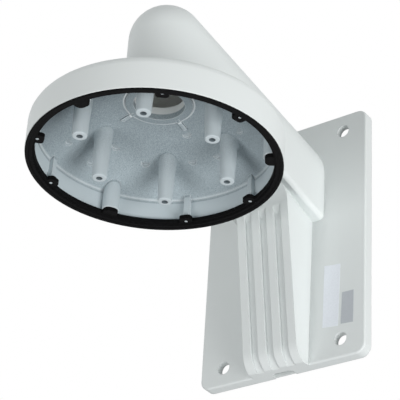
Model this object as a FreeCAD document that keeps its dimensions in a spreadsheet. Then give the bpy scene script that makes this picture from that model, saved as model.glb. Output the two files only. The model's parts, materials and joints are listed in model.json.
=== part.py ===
import FreeCAD, Part
import math
import os
import re
import Sketcher

# Camera bracket for a wall: a hollow die casting and the rubber gasket of its round cup.
# The frame sits on the wall: the origin is the centre of the wall plate's back face,
# +X points right, +Y into the wall, +Z up. Depths are measured forward from the wall.

Vector = FreeCAD.Vector
doc = FreeCAD.newDocument("camera_bracket")
sheet = doc.addObject("Spreadsheet::Sheet", "sizes")

SIZES = [
    # The wall plate: a shallow tray, open at the back
    ("plate_width", 125.0),
    ("plate_height", 183.0),
    ("plate_thickness", 7.7),
    ("plate_corner_radius", 7.0),
    ("plate_edge_round", 1.3),
    ("plate_skin", 3.4),
    ("plate_rim_wall", 4.0),
    ("screw_spacing_across", 89.0),
    ("screw_spacing_up", 157.0),
    ("screw_hole_diameter", 9.0),
    ("screw_boss_diameter", 17.0),
    ("screw_boss_recess", 2.5),
    ("tray_rib_width", 3.0),
    ("tray_rib_spacing", 40.0),
    # The cable knock-out in the plate's foot
    ("knockout_width", 15.6),
    ("knockout_depth", 6.6),
    ("knockout_height", 6.0),
    ("knockout_web", 1.0),
    ("knockout_web_setback", 1.0),
    ("knockout_corner_radius", 3.0),
    # The arm, from its root at the plate to the centre of its round front end
    ("casting_wall", 4.0),
    ("arm_root_width", 61.6),
    ("arm_root_centre_height", 46.6),
    ("arm_end_width", 49.0),
    ("arm_end_centre_height", 77.8),
    ("arm_end_reach", 149.7),
    # The ledge under the arm, which twists as it rises towards the cup
    ("ledge_root_height", 13.3),
    ("ledge_outer_slope", 0.25),
    ("ledge_inner_slope", 0.36),
    ("ledge_edge_round", 3.2),
    ("saddle_reach", 64.0),
    ("saddle_overlap", 1.0),
    ("saddle_radius", 16.0),
    # The gusset below the arm, with its ribbed front
    ("gusset_top_width", 45.4),
    ("gusset_foot_width", 43.2),
    ("gusset_side_draft", 0.066),
    ("gusset_front_depth", 33.8),
    ("gusset_front_lean", 0.1564),
    ("gusset_foot_depth", 12.8),
    ("gusset_foot_round_height", 11.0),
    ("gusset_throat_height", 17.0),
    ("gusset_throat_reach", 44.0),
    ("ridge_width", 6.0),
    ("groove_width", 5.45),
    ("groove_depth", 2.0),
    ("groove_top_height", 10.0),
    ("groove_runout", 7.0),
    ("groove_runout_rise", 0.6),
    ("groove_foot_depth", 1.1),
    ("gusset_hollow_setback", 1.0),
    # The cup, open downwards
    ("cup_reach", 152.5),
    ("cup_diameter", 157.0),
    ("cup_rim_height", -13.5),
    ("cup_rim_wall", 4.0),
    ("cup_crease_inset", 1.1),
    ("cup_dome_radius", 122.0),
    ("cup_dome_apex", 36.0),
    ("cup_dome_wall", 4.2),
    ("cup_ceiling_radius", 112.3),
    ("cup_shoulder_radius", 6.0),
    ("cup_rim_round", 0.6),
    # The cable port in the middle of the dome, with its collar and four ribs
    ("port_radius", 16.0),
    ("collar_radius", 21.0),
    ("collar_face_height", 28.8),
    ("collar_top_height", 38.0),
    ("collar_rib_width", 2.4),
    ("collar_rib_height", 1.5),
    ("collar_rib_reach", 28.5),
    # Six tapped posts that carry the camera
    ("post_pair_across", 85.0),
    ("post_corner_across", 47.4),
    ("post_corner_along", 86.0),
    ("post_end_height", -11.2),
    ("post_end_radius", 4.55),
    ("post_taper", 0.04),
    ("post_edge_round", 0.8),
    ("post_root_round", 2.0),
    ("post_hole_radius", 1.9),
    ("post_hole_depth", 14.0),
    # Inside the cup's wall: seats for the gasket's tabs, and three half-round columns
    ("seat_height", -9.8),
    ("seat_length", 3.9),
    ("seat_width", 3.8),
    ("seat_angle", 20.0),
    ("pip_radius", 1.0),
    ("pip_recess", 0.2),
    ("pip_root", 1.0),
    ("pip_inset", 2.6),
    ("column_radius", 5.4),
    ("column_inset", 3.5),
    # Ejector marks on the ceiling
    ("mark_radius", 2.9),
    ("mark_depth", 0.3),
    # The gasket
    ("gasket_edge_inset", 0.25),
    ("gasket_lip_height", 1.2),
    ("gasket_lip_width", 2.2),
    ("gasket_lip_round", 0.4),
    ("gasket_step_height", 0.6),
    ("gasket_thickness", 2.8),
    ("gasket_flange_width", 1.4),
    ("gasket_flange_draft", 0.3),
    ("gasket_wall_clearance", 0.6),
    ("gasket_tab_overhang", 2.8),
    ("gasket_tab_width", 8.2),
    ("gasket_tab_corner", 2.4),
    ("gasket_hole_clearance", 0.25),
    ("gasket_lobe_length", 7.6),
    ("gasket_lobe_width", 9.6),
    ("gasket_lobe_corner", 3.6),
    # How far a shape that cuts stands clear of the faces that it cuts
    ("cut_clearance", 2.0),
]

sheet.set("A1", "size")
sheet.set("B1", "value, mm or ratio")
for row, (name, value) in enumerate(SIZES, start=2):
    sheet.set("A%d" % row, name)
    sheet.set("B%d" % row, str(value))
    sheet.setAlias("B%d" % row, name)
doc.recompute()

ALIASES = {name for name, value in SIZES}


def linked(expression):
    """The expression with every size written as a cell of the sheet."""
    word = re.compile(r"[a-z_]+")
    return word.sub(lambda m: "sizes." + m.group() if m.group() in ALIASES else m.group(), expression)


def number(expression):
    """The present value of an expression in the sheet's sizes."""
    return float(sheet.evalExpression(linked(expression)))


def bind(thing, **values):
    """Binds properties to expressions; a double underscore stands for a dot."""
    for name, expression in values.items():
        thing.setExpression(name.replace("__", "."), linked(str(expression)))


# Sketch planes. front: x right, y up, at a depth. side: x is depth, y up. level: x, y at a height.
PLANES = {
    "front": (FreeCAD.Rotation(Vector(1, 0, 0), 90), "Placement.Base.y", -1),
    "side": (FreeCAD.Rotation(Vector(0, -1, 0), Vector(0, 0, 1), Vector(-1, 0, 0), "XYZ"),
             "Placement.Base.x", 1),
    "level": (FreeCAD.Rotation(), "Placement.Base.z", 1),
}


def outline(name, plane, corners, offset="0"):
    """A closed sketch. A corner is (x, y), or (x, y, radius, side) where the edge that leaves
    it is an arc of that radius, whose centre lies to the left or right of the edge."""
    rotation, place, sign = PLANES[plane]
    sketch = doc.addObject("Sketcher::SketchObject", name)
    sketch.Placement = FreeCAD.Placement(Vector(), rotation)
    sketch.setExpression(place, linked("%d * (%s)" % (sign, offset)))
    spots = [Vector(number(c[0]), number(c[1]), 0) for c in corners]
    ends = []
    for i, corner in enumerate(corners):
        start, stop = spots[i], spots[(i + 1) % len(spots)]
        if len(corner) == 2:
            edge = sketch.addGeometry(Part.LineSegment(start, stop), False)
            ends.append((edge, 1, 2))
            continue
        radius = number(corner[2])
        chord = stop - start
        left = Vector(-chord.y, chord.x, 0) / chord.Length
        rise = math.sqrt(max(radius ** 2 - chord.Length ** 2 / 4, 0))
        turn = 1 if corner[3] == "left" else -1
        centre = (start + stop) / 2 + left * rise * turn
        first, last = (start, stop) if turn > 0 else (stop, start)
        begin = math.atan2(first.y - centre.y, first.x - centre.x)
        end = math.atan2(last.y - centre.y, last.x - centre.x)
        if end <= begin:
            end += 2 * math.pi
        circle = Part.Circle(centre, Vector(0, 0, 1), radius)
        edge = sketch.addGeometry(Part.ArcOfCircle(circle, begin, end), False)
        rule = sketch.addConstraint(Sketcher.Constraint("Radius", edge, radius))
        sketch.setExpression("Constraints[%d]" % rule, linked(corner[2]))
        ends.append((edge, 1, 2) if turn > 0 else (edge, 2, 1))
    for i, (edge, near, far) in enumerate(ends):
        following = ends[(i + 1) % len(ends)]
        sketch.addConstraint(Sketcher.Constraint("Coincident", edge, far, following[0], following[1]))
        for kind, axis, words in (("DistanceX", -2, corners[i][0]), ("DistanceY", -1, corners[i][1])):
            if words == "0":
                sketch.addConstraint(Sketcher.Constraint("PointOnObject", edge, near, axis))
                continue
            rule = sketch.addConstraint(Sketcher.Constraint(kind, -1, 1, edge, near, number(words)))
            sketch.setExpression("Constraints[%d]" % rule, linked(words))
    doc.recompute()
    return sketch


def extrude(name, sketch, length, both_ways=False):
    solid = doc.addObject("Part::Extrusion", name)
    solid.Base = sketch
    solid.DirMode = "Normal"
    solid.Solid = True
    solid.Symmetric = both_ways
    bind(solid, LengthFwd=length)
    return solid


def loft(name, sections):
    solid = doc.addObject("Part::Loft", name)
    solid.Sections = sections
    solid.Solid = True
    solid.Ruled = True
    return solid


def revolve(name, sketch, reach, turn=360):
    """Turns a front sketch about the upright line at a depth, from its right side forward."""
    solid = doc.addObject("Part::Revolution", name)
    solid.Source = sketch
    solid.Axis = Vector(0, 0, -1)
    solid.Angle = turn
    solid.Solid = True
    bind(solid, Base__y="-(%s)" % reach)
    return solid


def fuse(name, shapes):
    joined = doc.addObject("Part::MultiFuse", name)
    joined.Shapes = shapes
    return joined


def cut(name, base, tool):
    result = doc.addObject("Part::Cut", name)
    result.Base = base
    result.Tool = tool
    return result


def common(name, first, second):
    shared = doc.addObject("Part::Common", name)
    shared.Base = first
    shared.Tool = second
    return shared


def cylinder(name, radius, height, x, y, z, rotation=None):
    solid = doc.addObject("Part::Cylinder", name)
    if rotation:
        solid.Placement.Rotation = rotation
    bind(solid, Radius=radius, Height=height)
    bind(solid, Placement__Base__x=x, Placement__Base__y=y, Placement__Base__z=z)
    return solid


def cone(name, low_radius, high_radius, height, x, y, z):
    solid = doc.addObject("Part::Cone", name)
    solid.Placement.Rotation = FreeCAD.Rotation(Vector(0, 0, 1), 45)
    bind(solid, Radius1=low_radius, Radius2=high_radius, Height=height)
    bind(solid, Placement__Base__x=x, Placement__Base__y=y, Placement__Base__z=z)
    return solid


def box(name, length, width, height, x, y, z):
    solid = doc.addObject("Part::Box", name)
    bind(solid, Length=length, Width=width, Height=height)
    bind(solid, Placement__Base__x=x, Placement__Base__y=y, Placement__Base__z=z)
    return solid


def round_edges(name, base, radius, wanted):
    """Rounds the edges of a shape that a test picks out."""
    doc.recompute()
    size = number(radius)
    picked = [i for i, edge in enumerate(base.Shape.Edges, start=1) if wanted(edge)]
    if not picked:
        raise RuntimeError("no edge to round for " + name)
    rounded = doc.addObject("Part::Fillet", name)
    rounded.Base = base
    rounded.Edges = [(i, size, size) for i in picked]
    return rounded


# The wall plate, with rounded corners and a softened front edge
HALF_WIDE = "plate_width / 2"
HALF_HIGH = "plate_height / 2"


def rounded_rectangle(name, plane, half_x, half_y, radius, offset="0", centre_y="0"):
    """A rectangle about an upright middle line, with round corners."""
    near_x, far_x = "%s - %s" % (half_x, radius), half_x
    top, bottom = "(%s) + (%s)" % (centre_y, half_y), "(%s) - (%s)" % (centre_y, half_y)
    top_in, bottom_in = "%s - (%s)" % (top, radius), "%s + (%s)" % (bottom, radius)
    minus = lambda words: "-(%s)" % words
    corners = [
        (minus(near_x), bottom),
        (near_x, bottom, radius, "left"),
        (far_x, bottom_in),
        (far_x, top_in, radius, "left"),
        (near_x, top),
        (minus(near_x), top, radius, "left"),
        (minus(far_x), top_in),
        (minus(far_x), bottom_in, radius, "left"),
    ]
    return outline(name, plane, corners, offset)


plate_outline = rounded_rectangle("plate_outline", "front", HALF_WIDE, HALF_HIGH, "plate_corner_radius")
plate_block = extrude("plate_block", plate_outline, "plate_thickness")


def on_plate_front(edge):
    box_of = edge.BoundBox
    front = -number("plate_thickness")
    return abs(box_of.YMin - front) < 0.01 and abs(box_of.YMax - front) < 0.01


plate = round_edges("plate", plate_block, "plate_edge_round", on_plate_front)


# The arm: upright flanks under a half-round top, narrowing to a round end
def arm_share(depth):
    return "(%s) / arm_end_reach" % depth


def arm_half(depth, inset="0"):
    grown = "(arm_root_width + (arm_end_width - arm_root_width) * %s) / 2 - (%s)"
    return grown % (arm_share(depth), inset)


def arm_centre(depth):
    rise = "(arm_root_centre_height + (arm_end_centre_height - arm_root_centre_height) * %s)"
    return rise % arm_share(depth)


def arm_section(name, depth, bottom, inset="0"):
    half, centre = arm_half(depth, inset), arm_centre(depth)
    corners = [
        ("-(%s)" % half, bottom),
        (half, bottom),
        (half, centre, half, "left"),
        ("0", "%s + %s" % (centre, half), half, "left"),
        ("-(%s)" % half, centre),
    ]
    return outline(name, "front", corners, depth)


def arm_body(name, bottom, start, inset="0"):
    """The tapered arm and its round end, down to a level, drawn in from the outside by an inset."""
    taper = loft(name + "_taper", [
        arm_section(name + "_root", start, bottom, inset),
        arm_section(name + "_front", "arm_end_reach", bottom, inset),
    ])
    half = arm_half("arm_end_reach", inset)
    profile = outline(name + "_end_profile", "front", [
        ("0", bottom),
        (half, bottom),
        (half, "arm_end_centre_height", half, "left"),
        ("0", "arm_end_centre_height + %s" % half),
    ], "arm_end_reach")
    return fuse(name, [taper, revolve(name + "_end", profile, "arm_end_reach", 180)])


def ledge(slope, depth):
    return "(ledge_root_height + %s * ((%s) - plate_thickness))" % (slope, depth)


SADDLE_TOP = ledge("ledge_outer_slope", "saddle_reach")


def saddle_space(name, lift="0"):
    """The space under the curve by which the arm's underside drops onto the cup."""
    low = "cup_rim_height - cut_clearance"
    curve = "(saddle_radius + (%s))" % lift
    saddle = outline(name + "_profile", "side", [
        ("saddle_reach - saddle_overlap", low),
        ("saddle_reach + %s" % curve, low),
        ("saddle_reach + %s" % curve, "%s - saddle_radius" % SADDLE_TOP, curve, "left"),
        ("saddle_reach", "%s + (%s)" % (SADDLE_TOP, lift)),
        ("saddle_reach - saddle_overlap", "%s + (%s)" % (SADDLE_TOP, lift)),
    ])
    return extrude(name, saddle, "arm_root_width + 2 * cut_clearance", True)


def under_arm(name, depth, inner, lift):
    """The section of the space under the arm's floor, which follows the ledges."""
    low = "cup_rim_height - cut_clearance"
    outer = ledge("ledge_outer_slope", depth)
    edge_half, inner_half = arm_half(depth), "(gusset_top_width / 2 - gusset_side_draft * (%s))" % depth
    corners = [
        ("-(%s)" % edge_half, low),
        (edge_half, low),
        (edge_half, "%s + (%s)" % (outer, lift)),
        (inner_half, "%s + (%s)" % (inner, lift)),
        ("-(%s)" % inner_half, "%s + (%s)" % (inner, lift)),
        ("-(%s)" % edge_half, "%s + (%s)" % (outer, lift)),
    ]
    return outline(name, "front", corners, depth)


def ledged_section(name, depth, roof):
    """The arm's section behind the cup: ledges that slope inwards and round lower corners."""
    half, centre = arm_half(depth), arm_centre(depth)
    outer = ledge("ledge_outer_slope", depth)
    inner_half = "(gusset_top_width / 2 - gusset_side_draft * (%s))" % depth
    corners = [
        ("-(%s)" % inner_half, roof),
        (inner_half, roof),
        ("%s - ledge_edge_round" % half, outer, "ledge_edge_round", "left"),
        (half, "%s + ledge_edge_round" % outer),
        (half, centre, half, "left"),
        ("0", "%s + %s" % (centre, half), half, "left"),
        ("-(%s)" % half, centre),
        ("-(%s)" % half, "%s + ledge_edge_round" % outer, "ledge_edge_round", "left"),
        ("-(%s) + ledge_edge_round" % half, outer),
    ]
    return outline(name, "front", corners, depth)


arm_rear = loft("arm_rear", [
    ledged_section("arm_at_wall", "0", ledge("ledge_inner_slope", "0")),
    ledged_section("arm_at_throat", "gusset_throat_reach", ledge("ledge_inner_slope", "gusset_throat_reach")),
    ledged_section("arm_at_saddle", "saddle_reach", SADDLE_TOP),
])
arm_front = cut("arm_front", arm_body("arm_front_raw", "0", "saddle_reach"), saddle_space("saddle_space"))
arm = fuse("arm", [arm_rear, arm_front])


# The gusset: a tapered web with a leaning front that turns back at the foot
FOOT = "-plate_height / 2"
FRONT_LINE = "(gusset_front_depth + gusset_front_lean * (%s))"
FOOT_ROUND = "(gusset_foot_round_height - plate_height / 2)"
GUSSET_LOFT_DEPTH = "(gusset_throat_reach + cut_clearance)"


def gusset_section(name, depth, inset="0", top="arm_root_centre_height", bottom=FOOT):
    foot_half = "gusset_foot_width / 2 - gusset_side_draft * (%s) - (%s)" % (depth, inset)
    top_half = "gusset_top_width / 2 - gusset_side_draft * (%s) - (%s)" % (depth, inset)
    corners = [
        ("-(%s)" % foot_half, bottom),
        (foot_half, bottom),
        (top_half, top),
        ("-(%s)" % top_half, top),
    ]
    return outline(name, "front", corners, depth)


gusset_wedge = loft("gusset_wedge", [
    gusset_section("gusset_at_wall", "0"),
    gusset_section("gusset_at_front", GUSSET_LOFT_DEPTH),
])


def bend(first, second):
    """The radius of an arc between two corners of a side view that meets the leaning front smoothly."""
    forward, upward = ("((%s) - (%s))" % (second[axis], first[axis]) for axis in (0, 1))
    square = "(%s ^ 2 + %s ^ 2)" % (forward, upward)
    return "%s * sqrt(1 + gusset_front_lean ^ 2) / (2 * abs(%s - gusset_front_lean * %s))" % (
        square, forward, upward)


def foot_curve(first, inset="0"):
    """The foot's curve, from a corner near the wall up to the leaning front."""
    second = ("%s - (%s)" % (FRONT_LINE % FOOT_ROUND, inset), FOOT_ROUND)
    return [(*first, bend(first, second), "left"), second]


gusset_top = "arm_root_centre_height"
throat = (FRONT_LINE % "gusset_throat_height", "gusset_throat_height")
throat_end = ("gusset_throat_reach", ledge("ledge_inner_slope", "gusset_throat_reach"))
gusset_side = outline("gusset_side", "side", [
    ("0", FOOT),
    *foot_curve(("gusset_foot_depth", FOOT)),
    (*throat, bend(throat, throat_end), "right"),
    throat_end,
    ("gusset_throat_reach", gusset_top),
    ("0", gusset_top),
])
gusset_smooth = common(
    "gusset_smooth", gusset_wedge, extrude("gusset_side_block", gusset_side, "plate_width", True))

# Three grooves leave four flat ridges down the gusset's front
GROOVE_FOOT = "gusset_foot_depth - groove_foot_depth"
GROOVE_END = "(groove_top_height + groove_runout)"
CLEAR_FRONT = "gusset_throat_reach + cut_clearance"
groove_side = outline("groove_side", "side", [
    *foot_curve((GROOVE_FOOT, FOOT), "groove_depth"),
    ("%s - groove_depth" % (FRONT_LINE % "groove_top_height"), "groove_top_height"),
    ("%s + groove_runout_rise" % (FRONT_LINE % GROOVE_END), GROOVE_END),
    (CLEAR_FRONT, GROOVE_END),
    (CLEAR_FRONT, "%s - cut_clearance" % FOOT),
    (GROOVE_FOOT, "%s - cut_clearance" % FOOT),
])
groove_blocks = []
for index in (-1, 0, 1):
    groove = extrude("groove_%d" % (index + 2), groove_side, "groove_width", True)
    bind(groove, Placement__Base__x="%d * (ridge_width + groove_width)" % index)
    groove_blocks.append(groove)
gusset = cut("gusset", gusset_smooth, fuse("grooves", groove_blocks))

# The cup's outer form: an upright wall, a round shoulder and a shallow dome
CUP_RADIUS = "cup_diameter / 2"
DOME_CENTRE = "(cup_dome_apex - cup_dome_radius)"
SHOULDER_IN = "(cup_diameter / 2 - cup_shoulder_radius)"
SHOULDER_RISE = "sqrt((cup_dome_radius - cup_shoulder_radius) ^ 2 - %s ^ 2)" % SHOULDER_IN
ONTO_DOME = "cup_dome_radius / (cup_dome_radius - cup_shoulder_radius)"

cup_profile = outline("cup_profile", "front", [
    ("0", "cup_rim_height"),
    (CUP_RADIUS, "cup_rim_height"),
    (CUP_RADIUS, "%s + %s" % (DOME_CENTRE, SHOULDER_RISE), "cup_shoulder_radius", "left"),
    ("%s * %s" % (SHOULDER_IN, ONTO_DOME), "%s + %s * %s" % (DOME_CENTRE, SHOULDER_RISE, ONTO_DOME),
     "cup_dome_radius", "left"),
    ("0", "cup_dome_apex"),
], "cup_reach")
cup_block = revolve("cup_block", cup_profile, "cup_reach")


def on_rim(edge):
    around = edge.BoundBox
    return abs(around.ZMax - number("cup_rim_height")) < 0.01


cup = round_edges("cup", cup_block, "cup_rim_round", on_rim)

# The hollows. The drafted wall inside the cup meets the domed ceiling in a crisp line
CEILING_APEX = "(cup_dome_apex - cup_dome_wall)"
CEILING_CENTRE = "(%s - cup_ceiling_radius)" % CEILING_APEX
INNER_RIM = "(cup_diameter / 2 - cup_rim_wall)"
BELOW_RIM = "(cup_rim_height - cut_clearance)"
CREASE_RADIUS = "(%s - cup_crease_inset)" % INNER_RIM
CREASE_HEIGHT = "(%s + sqrt(cup_ceiling_radius ^ 2 - %s ^ 2))" % (CEILING_CENTRE, CREASE_RADIUS)

cavity_profile = outline("cavity_profile", "front", [
    ("0", BELOW_RIM),
    (INNER_RIM, BELOW_RIM),
    (INNER_RIM, "cup_rim_height"),
    (CREASE_RADIUS, CREASE_HEIGHT, "cup_ceiling_radius", "left"),
    ("0", CEILING_APEX),
], "cup_reach")
cup_cavity = revolve("cup_cavity", cavity_profile, "cup_reach")

# The arm and gusset share one hollow, which opens at the wall; the dome closes it at the cup
BEHIND = "-cut_clearance"
arm_inside = arm_body("arm_inside", "0", BEHIND, "casting_wall")
under_floor = loft("under_floor", [
    under_arm("floor_at_wall", "0", ledge("ledge_inner_slope", "0"), "casting_wall"),
    under_arm("floor_at_throat", "gusset_throat_reach", ledge("ledge_inner_slope", "gusset_throat_reach"),
              "casting_wall"),
    under_arm("floor_at_saddle", "saddle_reach", SADDLE_TOP, "casting_wall"),
])
arm_keep = fuse("arm_keep", [under_floor, saddle_space("saddle_floor", "casting_wall"), cup_block])
arm_hollow = cut("arm_hollow", arm_inside, arm_keep)

HOLLOW_FLOOR = "(casting_wall - plate_height / 2)"
hollow_wedge = loft("hollow_wedge", [
    gusset_section("hollow_at_wall", BEHIND, "casting_wall"),
    gusset_section("hollow_at_front", GUSSET_LOFT_DEPTH, "casting_wall"),
])
hollow_top = "(%s + casting_wall + cut_clearance)" % ledge("ledge_inner_slope", "gusset_front_depth")
hollow_side = outline("hollow_side", "side", [
    (BEHIND, HOLLOW_FLOOR),
    *foot_curve(("gusset_foot_depth - gusset_hollow_setback", HOLLOW_FLOOR), "casting_wall"),
    ("%s - casting_wall" % (FRONT_LINE % hollow_top), hollow_top),
    (BEHIND, hollow_top),
])
gusset_hollow = common(
    "gusset_hollow", hollow_wedge, extrude("hollow_side_block", hollow_side, "plate_width", True))

# The plate's back is a tray; its rim, cross ribs and the walls of the arm and gusset all
# reach the wall, and the screw bosses stop just short of it
TRAY_DEPTH = "(plate_thickness - plate_skin)"
tray_outline = rounded_rectangle(
    "tray_outline", "front", "(plate_width / 2 - plate_rim_wall)", "(plate_height / 2 - plate_rim_wall)",
    "(plate_corner_radius - plate_rim_wall)", BEHIND)
tray_block = extrude("tray_block", tray_outline, "cut_clearance + %s" % TRAY_DEPTH)
FORWARD = FreeCAD.Rotation(Vector(1, 0, 0), 90)
SIGNS = [(-1, -1), (1, -1), (-1, 1), (1, 1)]
screw_bosses, screw_holes = [], []
for index, (right, up) in enumerate(SIGNS, start=1):
    across = "%d * screw_spacing_across / 2" % right
    height = "%d * screw_spacing_up / 2" % up
    screw_bosses.append(cylinder(
        "screw_boss_%d" % index, "screw_boss_diameter / 2", "plate_thickness - screw_boss_recess", across,
        "-screw_boss_recess", height, FORWARD))
    screw_holes.append(cylinder(
        "screw_hole_%d" % index, "screw_hole_diameter / 2", "plate_thickness + 2 * cut_clearance", across,
        "cut_clearance", height, FORWARD))
tray_ribs = []
for index in (-1, 1):
    tray_ribs.append(box(
        "tray_rib_%d" % (index + 2), "plate_width - plate_rim_wall", "plate_thickness", "tray_rib_width",
        "(plate_rim_wall - plate_width) / 2", "-plate_thickness",
        "-tray_rib_spacing + (%d * tray_rib_spacing - tray_rib_width) / 2" % index))
tray_keep = fuse("tray_keep", [arm, gusset] + screw_bosses + tray_ribs)
tray_pocket = cut("tray_pocket", tray_block, tray_keep)

# The cable knock-out: a slot in the foot, closed just short of the wall by a thin web
SLOT_CORNER = "knockout_corner_radius - knockout_depth"
slot_outline = outline("slot_outline", "level", [
    ("-knockout_width / 2", "cut_clearance"),
    ("-knockout_width / 2", SLOT_CORNER, "knockout_corner_radius", "left"),
    ("knockout_corner_radius - knockout_width / 2", "-knockout_depth"),
    ("knockout_width / 2 - knockout_corner_radius", "-knockout_depth", "knockout_corner_radius", "left"),
    ("knockout_width / 2", SLOT_CORNER),
    ("knockout_width / 2", "cut_clearance"),
], "%s - cut_clearance" % FOOT)
knockout_slot = extrude("knockout_slot", slot_outline, "knockout_height + cut_clearance")
knockout_web = box(
    "knockout_web_strip", "knockout_width + casting_wall", "knockout_web", "knockout_height + casting_wall",
    "-(knockout_width + casting_wall) / 2", "-knockout_web_setback - knockout_web", FOOT)

# The casting without its inner features
CUP_CENTRE = "-cup_reach"
port = cylinder(
    "port", "port_radius", "collar_top_height - cup_rim_height", "0", CUP_CENTRE, "cup_rim_height")
casting_block = fuse("casting_block", [plate, arm, gusset, cup])
hollows = fuse("hollows", [cup_cavity, arm_hollow, gusset_hollow, tray_pocket, knockout_slot] + screw_holes)
shell = cut("shell", casting_block, hollows)

# Inside the cup: a collar round the cable port, braced by four short ribs on the ceiling
collar = cylinder(
    "collar", "collar_radius", "collar_top_height - collar_face_height", "0", CUP_CENTRE,
    "collar_face_height")
rib_bars = []
for index, (length, width) in enumerate((("2 * collar_rib_reach", "collar_rib_width"),
                                          ("collar_rib_width", "2 * collar_rib_reach")), start=1):
    rib_bars.append(box(
        "collar_rib_bar_%d" % index, length, width, CEILING_APEX,
        "-(%s) / 2" % length, "-cup_reach - (%s) / 2" % width, "0"))
rib_layer = doc.addObject("Part::Sphere", "rib_layer")
bind(rib_layer, Radius="cup_ceiling_radius - collar_rib_height")
bind(rib_layer, Placement__Base__y=CUP_CENTRE, Placement__Base__z=CEILING_CENTRE)
collar_ribs = cut("collar_ribs", fuse("collar_rib_bars", rib_bars), rib_layer)

# The posts stand down from the ceiling, each a slim cone with a tapped hole
POST_LENGTH = "(cup_dome_apex - post_end_height)"
POSTS = [
    ("post_corner_across / 2", "post_corner_along / 2"),
    ("-post_corner_across / 2", "post_corner_along / 2"),
    ("post_corner_across / 2", "-post_corner_along / 2"),
    ("-post_corner_across / 2", "-post_corner_along / 2"),
    ("post_pair_across / 2", "0"),
    ("-post_pair_across / 2", "0"),
]
posts, post_holes = [], []
for index, (across, along) in enumerate(POSTS, start=1):
    posts.append(cone(
        "post_%d" % index, "post_end_radius", "post_end_radius + post_taper * %s" % POST_LENGTH,
        POST_LENGTH, across, "-cup_reach + %s" % along, "post_end_height"))
    post_holes.append(cylinder(
        "post_hole_%d" % index, "post_hole_radius", "post_hole_depth + cut_clearance", across,
        "-cup_reach + %s" % along, "post_end_height - cut_clearance"))


# Round the cup's wall: seats beside each of three columns. Angles run from +X towards the wall
def round_the_cup(name, corners, angle, height):
    """A level sketch in radial and sideways sizes, turned to its angle about the cup's axis."""
    sketch = outline(name, "level", corners, height)
    sketch.Placement.Rotation = FreeCAD.Rotation(Vector(0, 0, 1), number(angle))
    bind(sketch, Placement__Rotation__Angle=angle, Placement__Base__y=CUP_CENTRE)
    return sketch


THIRDS = (90, 210, 330)
SEAT_ANGLES = ["%d %s seat_angle" % (middle, side) for middle in THIRDS for side in "-+"]
COLUMN_ANGLES = (30, 150, 270)
IN_THE_WALL = "(cup_diameter / 2 - cup_rim_wall / 2)"
SEAT_RADIUS = "(%s - seat_length)" % INNER_RIM
PIP_CIRCLE = "(%s - pip_inset)" % INNER_RIM
COLUMN_CIRCLE = "(%s - column_inset)" % INNER_RIM


def cup_spot(distance, angle):
    """The place x, y at a distance and an angle from the cup's axis."""
    return "%s * cos(%s)" % (distance, angle), "-cup_reach + %s * sin(%s)" % (distance, angle)


seats, pips = [], []
for index, angle in enumerate(SEAT_ANGLES, start=1):
    seat = round_the_cup("seat_outline_%d" % index, [
        (SEAT_RADIUS, "-seat_width / 2"),
        (IN_THE_WALL, "-seat_width / 2"),
        (IN_THE_WALL, "seat_width / 2"),
        (SEAT_RADIUS, "seat_width / 2"),
    ], angle, "seat_height")
    seats.append(extrude("seat_%d" % index, seat, "cup_dome_apex - seat_height"))
    pips.append(cylinder(
        "pip_%d" % index, "pip_radius", "gasket_thickness - pip_recess + pip_root",
        *cup_spot(PIP_CIRCLE, angle), "seat_height - gasket_thickness + pip_recess"))
columns = []
for index, angle in enumerate(COLUMN_ANGLES, start=1):
    columns.append(cylinder(
        "column_%d" % index, "column_radius", "cup_dome_apex - seat_height",
        *cup_spot(COLUMN_CIRCLE, angle), "seat_height"))

mid_dome = doc.addObject("Part::Sphere", "mid_dome")
bind(mid_dome, Radius="cup_ceiling_radius + cup_dome_wall / 2")
bind(mid_dome, Placement__Base__y=CUP_CENTRE, Placement__Base__z=CEILING_CENTRE)
inner_stock = fuse("inner_stock", posts + seats + columns + [collar_ribs])
inner_parts = common("inner_parts", inner_stock, mid_dome)
cast_sharp = fuse("cast_sharp", [shell, inner_parts, collar, knockout_web] + pips)


def post_root(edge):
    """The line where a post meets the ceiling."""
    spot = edge.valueAt((edge.FirstParameter + edge.LastParameter) / 2)
    ceiling_centre = Vector(0, number(CUP_CENTRE), number(CEILING_CENTRE))
    if abs((spot - ceiling_centre).Length - number("cup_ceiling_radius")) > 0.05:
        return False
    radius = number("post_end_radius") + number("post_taper") * (spot.z - number("post_end_height"))
    for across, along in POSTS:
        reach = math.hypot(spot.x - number(across), spot.y - number("-cup_reach + %s" % along))
        if abs(reach - radius) < 0.05:
            return True
    return False


def post_end(edge):
    around = edge.BoundBox
    return (around.ZLength < 0.01 and abs(around.ZMin - number("post_end_height")) < 0.01
            and around.XLength < number("3 * post_end_radius"))


rooted = round_edges("rooted", cast_sharp, "post_root_round", post_root)
eased = round_edges("eased", rooted, "post_edge_round", post_end)

# Ejector pins left shallow flats on the ceiling: the share of the cup's inner radius, and the angle
MARKS = [(0.627, 161), (0.698, 135), (0.689, 101), (0.442, 94), (0.678, 47), (0.706, 81), (0.823, 169),
         (0.807, 192)]
marks = []
for index, (share, angle) in enumerate(MARKS, start=1):
    distance = "(%s * %s)" % (share, INNER_RIM)
    ceiling = "%s + sqrt(cup_ceiling_radius ^ 2 - %s ^ 2)" % (CEILING_CENTRE, distance)
    marks.append(cylinder(
        "mark_%d" % index, "mark_radius", "2 * mark_radius", *cup_spot(distance, angle),
        "%s + mark_depth - 2 * mark_radius" % ceiling))

casting = cut("bracket_casting", eased, fuse("holes", post_holes + marks + [port]))

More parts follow.
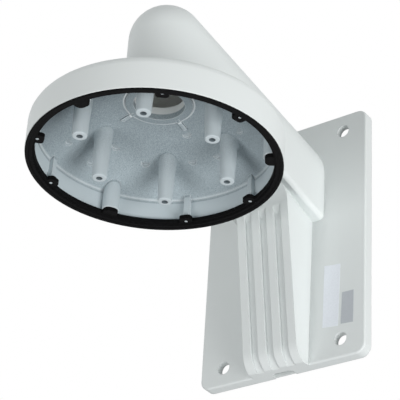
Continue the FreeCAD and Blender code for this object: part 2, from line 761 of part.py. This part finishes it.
# The gasket lies on the rim and laps inside the wall; its tabs sit on the seats
FLANGE_RADIUS = "(%s - gasket_wall_clearance)" % INNER_RIM
FLANGE_INNER = "(%s - gasket_flange_width)" % FLANGE_RADIUS
LIP_OUTER = "(cup_diameter / 2 - gasket_edge_inset)"
LIP_INNER = "(%s - gasket_lip_width)" % LIP_OUTER
LIP_BOTTOM = "(cup_rim_height - gasket_lip_height)"
TAB_BOTTOM = "(seat_height - gasket_thickness)"
ring_profile = outline("ring_profile", "front", [
    (FLANGE_INNER, TAB_BOTTOM),
    ("%s - gasket_flange_draft" % FLANGE_RADIUS, TAB_BOTTOM),
    (FLANGE_RADIUS, "cup_rim_height - gasket_step_height"),
    (LIP_INNER, "cup_rim_height - gasket_step_height"),
    (LIP_INNER, "%s + gasket_lip_round" % LIP_BOTTOM, "gasket_lip_round", "left"),
    ("%s + gasket_lip_round" % LIP_INNER, LIP_BOTTOM),
    ("%s - gasket_lip_round" % LIP_OUTER, LIP_BOTTOM, "gasket_lip_round", "left"),
    (LIP_OUTER, "%s + gasket_lip_round" % LIP_BOTTOM),
    (LIP_OUTER, "cup_rim_height"),
    (FLANGE_RADIUS, "cup_rim_height"),
    (FLANGE_RADIUS, "seat_height"),
    (FLANGE_INNER, "seat_height"),
], "cup_reach")
ring = revolve("gasket_ring", ring_profile, "cup_reach")


def tongue(name, reach, width, corner, angle):
    """A flat tab with two round corners, from the flange towards the cup's middle."""
    root = "(%s + gasket_flange_width / 2)" % FLANGE_INNER
    half = "(%s) / 2" % width
    sketch = round_the_cup(name + "_outline", [
        (root, "-%s" % half),
        (root, half),
        ("%s + %s" % (reach, corner), half, corner, "left"),
        (reach, "%s - %s" % (half, corner)),
        (reach, "%s - %s" % (corner, half), corner, "left"),
        ("%s + %s" % (reach, corner), "-%s" % half),
    ], angle, TAB_BOTTOM)
    return extrude(name, sketch, "gasket_thickness")


TAB_REACH = "(%s - gasket_tab_overhang)" % SEAT_RADIUS
LOBE_REACH = "(%s - gasket_lobe_length)" % INNER_RIM
tongues = [
    tongue("tab_%d" % index, TAB_REACH, "gasket_tab_width", "gasket_tab_corner", angle)
    for index, angle in enumerate(SEAT_ANGLES, start=1)
]
tongues += [
    tongue("lobe_%d" % index, LOBE_REACH, "gasket_lobe_width", "gasket_lobe_corner", str(angle))
    for index, angle in enumerate(COLUMN_ANGLES, start=1)
]
tab_holes = [
    cylinder("tab_hole_%d" % index, "pip_radius + gasket_hole_clearance",
             "gasket_thickness + 2 * cut_clearance", *cup_spot(PIP_CIRCLE, angle),
             "%s - cut_clearance" % TAB_BOTTOM)
    for index, angle in enumerate(SEAT_ANGLES, start=1)
]
gasket = cut("rim_gasket", fuse("gasket_body", [ring] + tongues), fuse("gasket_holes", tab_holes))

doc.recompute()
for thing in doc.Objects:
    if "Invalid" in thing.State or "Error" in thing.State:
        raise RuntimeError("failed: %s %s" % (thing.Name, thing.State))
NODES = [casting, gasket]
for node in NODES:
    node.Label = node.Name
    if node.Shape.isNull() or not node.Shape.isValid() or len(node.Shape.Solids) != 1:
        raise RuntimeError("bad shape: %s" % node.Label)
    print("%s: %.1f cm3, %d faces" % (node.Label, node.Shape.Volume / 1000, len(node.Shape.Faces)))
os.makedirs("parts", exist_ok=True)
for node in NODES:
    node.Shape.exportStep("parts/%s.step" % node.Label)
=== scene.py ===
import json
import math

import bpy
from mathutils import Matrix, Vector


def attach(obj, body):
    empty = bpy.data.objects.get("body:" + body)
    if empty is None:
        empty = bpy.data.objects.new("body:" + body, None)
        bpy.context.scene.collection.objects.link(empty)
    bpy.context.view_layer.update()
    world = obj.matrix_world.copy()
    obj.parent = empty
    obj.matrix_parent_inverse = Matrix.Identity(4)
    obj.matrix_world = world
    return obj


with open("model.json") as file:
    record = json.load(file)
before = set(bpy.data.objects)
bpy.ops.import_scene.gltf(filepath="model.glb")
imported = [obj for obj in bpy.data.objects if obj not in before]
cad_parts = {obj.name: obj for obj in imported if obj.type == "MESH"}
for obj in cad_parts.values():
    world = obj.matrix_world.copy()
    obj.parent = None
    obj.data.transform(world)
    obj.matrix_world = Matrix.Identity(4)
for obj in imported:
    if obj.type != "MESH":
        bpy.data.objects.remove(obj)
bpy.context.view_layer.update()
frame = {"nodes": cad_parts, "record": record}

# The view. The bracket is seen from below and from its right, so that the open cup, the
# ribbed gusset and the plate's front all show. The frame's origin is the middle of the
# plate's back face, with the wall towards +Y.
VIEW_AZIMUTH = math.radians(37.036)
VIEW_RISE = math.radians(31.373)
VIEW_ROLL = math.radians(3.748)
VIEW_PLACE = Vector((0.53184, -0.80915, -0.55254))
VIEW_LENS = 149.38
SENSOR_WIDTH = 36
VIEW_NEAR = 0.05
VIEW_FAR = 20

ahead = Vector((
    -math.sin(VIEW_AZIMUTH) * math.cos(VIEW_RISE),
    math.cos(VIEW_AZIMUTH) * math.cos(VIEW_RISE),
    math.sin(VIEW_RISE),
))
level_right = Vector((math.cos(VIEW_AZIMUTH), math.sin(VIEW_AZIMUTH), 0))
level_up = level_right.cross(ahead)
view_right = level_right * math.cos(VIEW_ROLL) + level_up * math.sin(VIEW_ROLL)
view_up = level_up * math.cos(VIEW_ROLL) - level_right * math.sin(VIEW_ROLL)
view_turn = Matrix((view_right, view_up, -ahead)).transposed().to_4x4()

camera_data = bpy.data.cameras.new("view")
camera_data.sensor_width = SENSOR_WIDTH
camera_data.lens = VIEW_LENS
camera_data.clip_start = VIEW_NEAR
camera_data.clip_end = VIEW_FAR
camera = bpy.data.objects.new("view", camera_data)
camera.matrix_world = Matrix.Translation(VIEW_PLACE) @ view_turn
bpy.context.collection.objects.link(camera)
bpy.context.scene.camera = camera


# The studio: two large soft boxes, left and right of the camera and as low as it is, two small
# soft lamps beside and under the bracket, and a light tent whose glow comes mostly from above.
# The camera, and any reflection, sees plain white behind it all.
# Glows as direction and colour; each fades with the square of the cosine from its direction.
GLOWS = [
    ((1, 0, 0), (0.14, 0.14, 0.14)),
    ((-1, 0, 0), (0.10, 0.10, 0.10)),
    ((0, 1, 0), (0.30, 0.30, 0.30)),
    ((0, -1, 0), (0.13, 0.13, 0.13)),
    ((0, 0, 1), (0.72, 0.74, 0.74)),
    ((0, 0, -1), (0.09, 0.095, 0.10)),
    ((1, -1, 0), (0.24, 0.24, 0.24)),
    ((-1, 0, 1), (0.58, 0.59, 0.60)),
]
# Lamps as name, place, width, watts and colour; each looks at the bracket's middle
LAMPS = [
    ("left_box", (-0.354, -1.191, -0.803), 0.7, 8.0, (1.0, 1.0, 1.0)),
    ("right_box", (1.130, -0.270, -0.803), 0.7, 13.2, (1.0, 1.0, 1.0)),
    ("side_lamp", (0.60, -0.10, 0.10), 0.4, 0.65, (1.0, 1.0, 1.0)),
    ("low_lamp", (0.15, -0.15, -0.60), 0.4, 0.30, (0.97, 1.0, 1.03)),
]
LAMP_AIM = Vector((0, -0.1, 0))


def node(tree, kind, inputs=(), **settings):
    """A shader node with its settings made and its inputs filled or linked, by name or number."""
    made = tree.nodes.new(kind)
    for name, value in settings.items():
        setattr(made, name, value)
    for name, value in dict(inputs).items():
        if isinstance(value, bpy.types.NodeSocket):
            tree.links.new(value, made.inputs[name])
        else:
            made.inputs[name].default_value = value
    return made


def reckon(tree, operation, first, second=0.0):
    """A sum, product or other reckoning of one or two numbers."""
    return node(tree, "ShaderNodeMath", {0: first, 1: second}, operation=operation).outputs[0]


tent = bpy.data.worlds.new("light_tent")
tent.use_nodes = True
tree = tent.node_tree
tree.nodes.clear()
towards = node(tree, "ShaderNodeTexCoord").outputs["Generated"]
glow = (0, 0, 0)
for direction, colour in GLOWS:
    facing = node(tree, "ShaderNodeVectorMath", {0: towards, 1: Vector(direction).normalized()},
                  operation="DOT_PRODUCT").outputs["Value"]
    facing = reckon(tree, "MAXIMUM", facing)
    strength = reckon(tree, "MULTIPLY", facing, facing)
    part = node(tree, "ShaderNodeVectorMath", {0: colour, "Scale": strength}, operation="SCALE").outputs[0]
    glow = node(tree, "ShaderNodeVectorMath", {0: glow, 1: part}, operation="ADD").outputs[0]
lit = node(tree, "ShaderNodeBackground", {"Color": glow, "Strength": 1.0}).outputs[0]
white = node(tree, "ShaderNodeBackground", {"Color": (1, 1, 1, 1), "Strength": 1.0}).outputs[0]
rays = node(tree, "ShaderNodeLightPath").outputs
seen = reckon(tree, "MAXIMUM", rays["Is Camera Ray"], rays["Is Glossy Ray"])
seen = reckon(tree, "MAXIMUM", seen, rays["Is Transmission Ray"])
shown = node(tree, "ShaderNodeMixShader", {0: seen, 1: lit, 2: white}).outputs[0]
node(tree, "ShaderNodeOutputWorld", {"Surface": shown})
bpy.context.scene.world = tent

for name, place, width, watts, colour in LAMPS:
    lamp_data = bpy.data.lights.new(name, "AREA")
    lamp_data.shape = "SQUARE"
    lamp_data.size = width
    lamp_data.energy = watts
    lamp_data.color = colour
    lamp = bpy.data.objects.new(name, lamp_data)
    lamp_turn = (LAMP_AIM - Vector(place)).to_track_quat("-Z", "Y").to_matrix().to_4x4()
    lamp.matrix_world = Matrix.Translation(place) @ lamp_turn
    lamp.visible_camera = False
    bpy.context.collection.objects.link(lamp)
bpy.context.scene.view_settings.view_transform = "Standard"


# The casting: die-cast aluminium under a pale grey powder coat, smooth and satin outside.
# Inside the cup the powder is thin on the ceiling, which is a speckled blue grey, and thicker
# on all that stands down from it. Pale lines along edges and corners are painted highlight; the cup's
# front and the posts' roots are darkened with painted shade, and the arm's hollow is lightened with painted
# light.
COAT_COLOUR = (0.705, 0.74, 0.735)
STANDING_COLOUR = (0.545, 0.61, 0.635)
CEILING_COLOUR = (0.43, 0.50, 0.53)
BARE_AND_SHADE_COLOUR = (0.16, 0.195, 0.215)
EDGE_HIGHLIGHT_COLOUR = (0.84, 0.88, 0.89)
HOLLOW_LIGHT_COLOUR = (0.93, 0.94, 0.92)
COAT_ROUGHNESS = 0.55
COAT_SHINE = 0.2

# The cup's inside: under the middle of the dome's wall, within the round wall, above the rim
SOFTNESS = 0.0003
DOME_CENTRE_HEIGHT = -0.086
DOME_MID_RADIUS = 0.1199
CUP_INNER_RADIUS = 0.0757
RIM_EDGE_HEIGHT = -0.0136
RIM_SOFTNESS = 0.0006
# The ceiling: a shallow bowl, with the collar around the cable port
CEILING_CENTRE_HEIGHT = -0.0805
CEILING_RADIUS = 0.1123
CEILING_CLEAR = 0.0018
CEILING_NEAR = 0.0012
COLLAR_RADIUS = 0.0218
COLLAR_SOFTNESS = 0.0004
# The ejector marks: flat recesses, told by lying further from the bowl's centre than it does; their floors
# get a painted highlight
MARK_SHALLOW = 0.00003
MARK_DEEP = 0.0001
MARK_HIGHLIGHT_STRENGTH = 0.2
# The bare holes in the posts
POST_HOLE_RADIUS = 0.0020
HOLE_SOFTNESS = 0.0001
# Painted highlight: pale lines along edges, in the crease of wall and ceiling, and around the collar
EDGE_REACH = 0.0007
EDGE_SAMPLES = 6
EDGE_NONE = 0.97
EDGE_FULL = 0.85
CREASE_RADIUS = 0.0734
CREASE_HEIGHT = 0.0045
CREASE_REACH = 0.0016
CREASE_CORE = 0.0002
CREASE_HIGHLIGHT_STRENGTH = 0.45
COLLAR_LINE_REACH = 0.0009
COLLAR_LINE_CORE = 0.0002
HIGHLIGHT_STRENGTH = 0.8
# The speckle of thin powder: fine grain in wide clouds, thinner towards the cup's middle. It is darkened
# towards the cup's front and towards the posts' roots as painted shade
CLOUD_SCALE = 38.0
CLOUD_LOW = 0.30
CLOUD_HIGH = 0.70
CLOUD_LEAST = 0.8
GRAIN_SCALE = 2400.0
MIDDLE_RADIUS = 0.040
OUTER_RADIUS = 0.070
OUTER_THINNING = 0.35
FRONT_SHADE_START = 0.005
FRONT_SHADE_END = 0.050
FRONT_SHADE = 1.8
THINNING_AND_SHADE_SHARE = 0.16
SPECK_NONE = 0.28
SPECK_FULL = 1.02
POST_END_HEIGHT = -0.008
POST_ROOT_HEIGHT = 0.022
POST_ROOT_SHADE = 0.6
# The arm's hollow, as faces that look towards its middle, above the dome and before the plate; it gets
# painted light
HOLLOW_MIDDLE = (0, -0.125, 0.058)
HOLLOW_FACING = -0.002
HOLLOW_DOME_RADIUS = 0.1221
HOLLOW_DOME_SOFTNESS = 0.0008
HOLLOW_FLOOR = 0.033
HOLLOW_BACK = -0.030
HOLLOW_SOFTNESS = 0.002
HOLLOW_BACK_SOFTNESS = 0.005
# The coat's fine orange peel
PEEL_SCALE = 650.0
PEEL_STRENGTH = 0.06
PEEL_DEPTH = 0.0004

MILLIMETRE = 0.001
mounts = {mount["name"]: mount for mount in frame["record"]["mounts"]}
cup_depth = mounts["cable_port"]["pos_m"][1]
post_x = mounts["camera_posts"]["dims"]["spacing_x_mm"] / 2 * MILLIMETRE
post_y = mounts["camera_posts"]["dims"]["spacing_y_mm"] / 2 * MILLIMETRE
side_post_x = mounts["camera_side_posts"]["dims"]["spacing_x_mm"] / 2 * MILLIMETRE
# The posts as places right of the cup's axis and from it towards the wall
posts = [(post_x, post_y), (-post_x, post_y), (post_x, -post_y), (-post_x, -post_y),
         (side_post_x, 0), (-side_post_x, 0)]


def material(name):
    """An empty node material, its node tree and its output node."""
    finish = bpy.data.materials.new(name)
    finish.use_nodes = True
    tree = finish.node_tree
    tree.nodes.clear()
    return finish, tree, node(tree, "ShaderNodeOutputMaterial")


def ramp(tree, value, low, high, out_low=0.0, out_high=1.0):
    """A smooth step of a value from one level to another."""
    return node(tree, "ShaderNodeMapRange", {"Value": value, "From Min": low, "From Max": high,
                "To Min": out_low, "To Max": out_high}, interpolation_type="SMOOTHSTEP").outputs[0]


def where_all(tree, *masks):
    """The product of masks: one where all of them are one."""
    met = masks[0]
    for mask in masks[1:]:
        met = reckon(tree, "MULTIPLY", met, mask)
    return met


def where_any(tree, *masks):
    """The largest of masks: one where any of them is one."""
    met = masks[0]
    for mask in masks[1:]:
        met = reckon(tree, "MAXIMUM", met, mask)
    return met


def noise(tree, place, scale, detail):
    """A cloudy pattern from 0 to 1; a larger scale is finer."""
    cloudy = node(tree, "ShaderNodeTexNoise", {"Vector": place, "Scale": scale, "Detail": detail})
    return cloudy.outputs["Fac"]


def blend(tree, amount, first, second):
    """A colour between two, each a number triple or a linked colour."""
    first, second = [(*c, 1) if isinstance(c, tuple) else c for c in (first, second)]
    return node(tree, "ShaderNodeMix", {0: amount, 6: first, 7: second}, data_type="RGBA").outputs[2]


def distance_from(tree, place, centre):
    """How far a place is from a point."""
    return node(tree, "ShaderNodeVectorMath", {0: place, 1: centre}, operation="DISTANCE").outputs["Value"]


coat, tree, output = material("powder_coat")
place = node(tree, "ShaderNodeTexCoord").outputs["Object"]
parts = node(tree, "ShaderNodeSeparateXYZ", {0: place}).outputs
depth = parts["Y"]
height = parts["Z"]
plan = node(tree, "ShaderNodeVectorMath", {0: place, 1: (1, 1, 0)}, operation="MULTIPLY").outputs[0]
dome_reach = distance_from(tree, place, (0, cup_depth, DOME_CENTRE_HEIGHT))
ceiling_reach = distance_from(tree, place, (0, cup_depth, CEILING_CENTRE_HEIGHT))
axis_reach = distance_from(tree, plan, (0, cup_depth, 0))

inside = where_all(
    tree,
    ramp(tree, dome_reach, DOME_MID_RADIUS + SOFTNESS, DOME_MID_RADIUS - SOFTNESS),
    ramp(tree, axis_reach, CUP_INNER_RADIUS + SOFTNESS, CUP_INNER_RADIUS - SOFTNESS),
    ramp(tree, height, RIM_EDGE_HEIGHT, RIM_EDGE_HEIGHT + RIM_SOFTNESS),
)
near_ceiling = ramp(tree, ceiling_reach, CEILING_RADIUS - CEILING_CLEAR, CEILING_RADIUS - CEILING_NEAR)
collar = ramp(tree, axis_reach, COLLAR_RADIUS + COLLAR_SOFTNESS, COLLAR_RADIUS)
ceiling = where_all(tree, inside, where_any(tree, near_ceiling, collar))
mark_highlight = ramp(tree, ceiling_reach, CEILING_RADIUS + MARK_SHALLOW, CEILING_RADIUS + MARK_DEEP)
mark_highlight = where_all(tree, mark_highlight, reckon(tree, "SUBTRACT", inside, collar), MARK_HIGHLIGHT_STRENGTH)
hole = [ramp(tree, distance_from(tree, plan, (x, cup_depth + y, 0)), POST_HOLE_RADIUS + HOLE_SOFTNESS,
             POST_HOLE_RADIUS) for x, y in posts]
hole = where_all(tree, where_any(tree, *hole), inside)

cloud = noise(tree, place, CLOUD_SCALE, 2.0)
grain = noise(tree, place, GRAIN_SCALE, 1.0)
thin_and_shade = where_all(tree, ramp(tree, cloud, CLOUD_LOW, CLOUD_HIGH, CLOUD_LEAST, 1.0),
                 ramp(tree, axis_reach, OUTER_RADIUS, MIDDLE_RADIUS, OUTER_THINNING, 1.0))
# Painted shade: the speckle darkens towards the cup's front
front = ramp(tree, depth, cup_depth - FRONT_SHADE_START, cup_depth - FRONT_SHADE_END, 0.0, FRONT_SHADE)
thin_and_shade = reckon(tree, "ADD", thin_and_shade, front)
thin_and_shade = reckon(tree, "MULTIPLY", thin_and_shade, THINNING_AND_SHADE_SHARE)
speck_and_shade = ramp(tree, reckon(tree, "ADD", grain, thin_and_shade), SPECK_NONE, SPECK_FULL)
# Painted shade: darker higher in the cup, towards the posts' roots where they meet the ceiling
root = ramp(tree, height, POST_END_HEIGHT, POST_ROOT_HEIGHT, 0.0, POST_ROOT_SHADE)
bare_and_shade = where_all(tree, speck_and_shade, inside, where_any(tree, root, ceiling))
bare_and_shade = where_any(tree, bare_and_shade, hole)

true_facing = node(tree, "ShaderNodeNewGeometry").outputs["True Normal"]
bevelled_facing = node(tree, "ShaderNodeBevel", {"Radius": EDGE_REACH}, samples=EDGE_SAMPLES).outputs[0]
along = node(tree, "ShaderNodeVectorMath", {0: bevelled_facing, 1: true_facing},
             operation="DOT_PRODUCT").outputs["Value"]
edge_highlight = where_all(tree, ramp(tree, along, EDGE_NONE, EDGE_FULL), reckon(tree, "SUBTRACT", inside, hole))
crease_highlight = node(tree, "ShaderNodeCombineXYZ", {0: axis_reach, 1: height}).outputs[0]
crease_highlight = distance_from(tree, crease_highlight, (CREASE_RADIUS, CREASE_HEIGHT, 0))
crease_highlight = ramp(tree, crease_highlight, CREASE_REACH, CREASE_CORE, 0.0, CREASE_HIGHLIGHT_STRENGTH)
collar_highlight = reckon(tree, "ABSOLUTE", reckon(tree, "SUBTRACT", axis_reach, COLLAR_RADIUS))
collar_highlight = where_all(tree, ramp(tree, collar_highlight, COLLAR_LINE_REACH, COLLAR_LINE_CORE), inside)
painted_highlight = where_all(tree, where_any(tree, edge_highlight, crease_highlight, collar_highlight, mark_highlight), HIGHLIGHT_STRENGTH)

hollow = node(tree, "ShaderNodeVectorMath", {0: place, 1: HOLLOW_MIDDLE}, operation="SUBTRACT").outputs[0]
hollow = node(tree, "ShaderNodeVectorMath", {0: hollow, 1: true_facing},
              operation="DOT_PRODUCT").outputs["Value"]
hollow = where_all(
    tree,
    ramp(tree, hollow, 0.0, HOLLOW_FACING),
    ramp(tree, dome_reach, HOLLOW_DOME_RADIUS, HOLLOW_DOME_RADIUS + HOLLOW_DOME_SOFTNESS),
    ramp(tree, height, HOLLOW_FLOOR, HOLLOW_FLOOR + HOLLOW_SOFTNESS),
    ramp(tree, depth, HOLLOW_BACK, HOLLOW_BACK - HOLLOW_BACK_SOFTNESS),
)

colour = blend(tree, inside, COAT_COLOUR, STANDING_COLOUR)
colour = blend(tree, ceiling, colour, CEILING_COLOUR)
# The speckle of thin powder, with painted shade towards the cup's front and the posts' roots
colour = blend(tree, bare_and_shade, colour, BARE_AND_SHADE_COLOUR)
# Painted highlight along edges, in the crease, around the collar and on the ejector marks
colour = blend(tree, painted_highlight, colour, EDGE_HIGHLIGHT_COLOUR)
# Painted light in the arm's hollow
colour = blend(tree, hollow, colour, HOLLOW_LIGHT_COLOUR)
peel = noise(tree, place, PEEL_SCALE, 2.0)
surface = node(tree, "ShaderNodeBump", {"Height": peel, "Strength": PEEL_STRENGTH, "Distance": PEEL_DEPTH,
               "Normal": bevelled_facing}).outputs[0]
powder = node(tree, "ShaderNodeBsdfPrincipled", {
    "Base Color": colour, "Roughness": COAT_ROUGHNESS, "Normal": surface, "Specular IOR Level": COAT_SHINE})
tree.links.new(powder.outputs[0], output.inputs["Surface"])
casting = frame["nodes"]["bracket_casting"]
casting.data.materials.clear()
casting.data.materials.append(coat)


# The gasket: one ring of soft black rubber, moulded with a raised lip on the rim and flat
# tabs and lobes that sit on the casting's seats. Its skin is matt and a little dusty.
RUBBER_COLOUR = (0.004, 0.004, 0.004)
DUST_COLOUR = (0.008, 0.008, 0.009)
RUBBER_ROUGHNESS = 0.7
RUBBER_SHINE = 0.04
DUST_SCALE = 900.0
DUST_NONE = 0.35
DUST_FULL = 0.75
DUST_STRENGTH = 0.08
DUST_DEPTH = 0.0003

rubber, tree, output = material("black_rubber")
place = node(tree, "ShaderNodeTexCoord").outputs["Object"]
dust = noise(tree, place, DUST_SCALE, 3.0)
colour = blend(tree, ramp(tree, dust, DUST_NONE, DUST_FULL), RUBBER_COLOUR, DUST_COLOUR)
surface = node(tree, "ShaderNodeBump",
               {"Height": dust, "Strength": DUST_STRENGTH, "Distance": DUST_DEPTH}).outputs[0]
skin = node(tree, "ShaderNodeBsdfPrincipled", {
    "Base Color": colour, "Roughness": RUBBER_ROUGHNESS, "Normal": surface,
    "Specular IOR Level": RUBBER_SHINE})
tree.links.new(skin.outputs[0], output.inputs["Surface"])
gasket = frame["nodes"]["rim_gasket"]
gasket.data.materials.clear()
gasket.data.materials.append(rubber)


# Two blank paper labels, stuck on the plate's front right of the gusset: a long white one
# and a short grey one beside it. Each is a thin film with square corners.
PLATE_FRONT = -0.0077
LABEL_THICKNESS = 0.00012
LABEL_ROUGHNESS = 0.5
FIBRE_SCALE = 1100.0
FIBRE_NONE = 0.3
FIBRE_FULL = 0.7
FIBRE_SHADE = 0.96
# Labels as name, the four corners on the plate as x and z, and colour
LABELS = [
    ("white_label", ((0.0312, -0.0678), (0.0426, -0.0690), (0.0438, -0.0243), (0.0318, -0.0230)),
     (0.79, 0.83, 0.88)),
    ("grey_label", ((0.0447, -0.0681), (0.0537, -0.0688), (0.0540, -0.0459), (0.0455, -0.0458)),
     (0.48, 0.51, 0.54)),
]
for name, corners, paper_colour in LABELS:
    film = bpy.data.meshes.new(name)
    front = [(x, PLATE_FRONT - LABEL_THICKNESS, z) for x, z in corners]
    back = [(x, PLATE_FRONT, z) for x, z in corners]
    sides = [(i, i + 4, (i + 1) % 4 + 4, (i + 1) % 4) for i in range(4)]
    film.from_pydata(front + back, [], [(0, 1, 2, 3), (7, 6, 5, 4)] + sides)
    label = bpy.data.objects.new(name, film)
    bpy.context.collection.objects.link(label)
    paper, tree, output = material(name)
    place = node(tree, "ShaderNodeTexCoord").outputs["Object"]
    fibre = ramp(tree, noise(tree, place, FIBRE_SCALE, 3.0), FIBRE_NONE, FIBRE_FULL)
    colour = blend(tree, fibre, paper_colour, tuple(c * FIBRE_SHADE for c in paper_colour))
    sheet = node(tree, "ShaderNodeBsdfPrincipled", {"Base Color": colour, "Roughness": LABEL_ROUGHNESS})
    tree.links.new(sheet.outputs[0], output.inputs["Surface"])
    film.materials.append(paper)
    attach(label, "root")
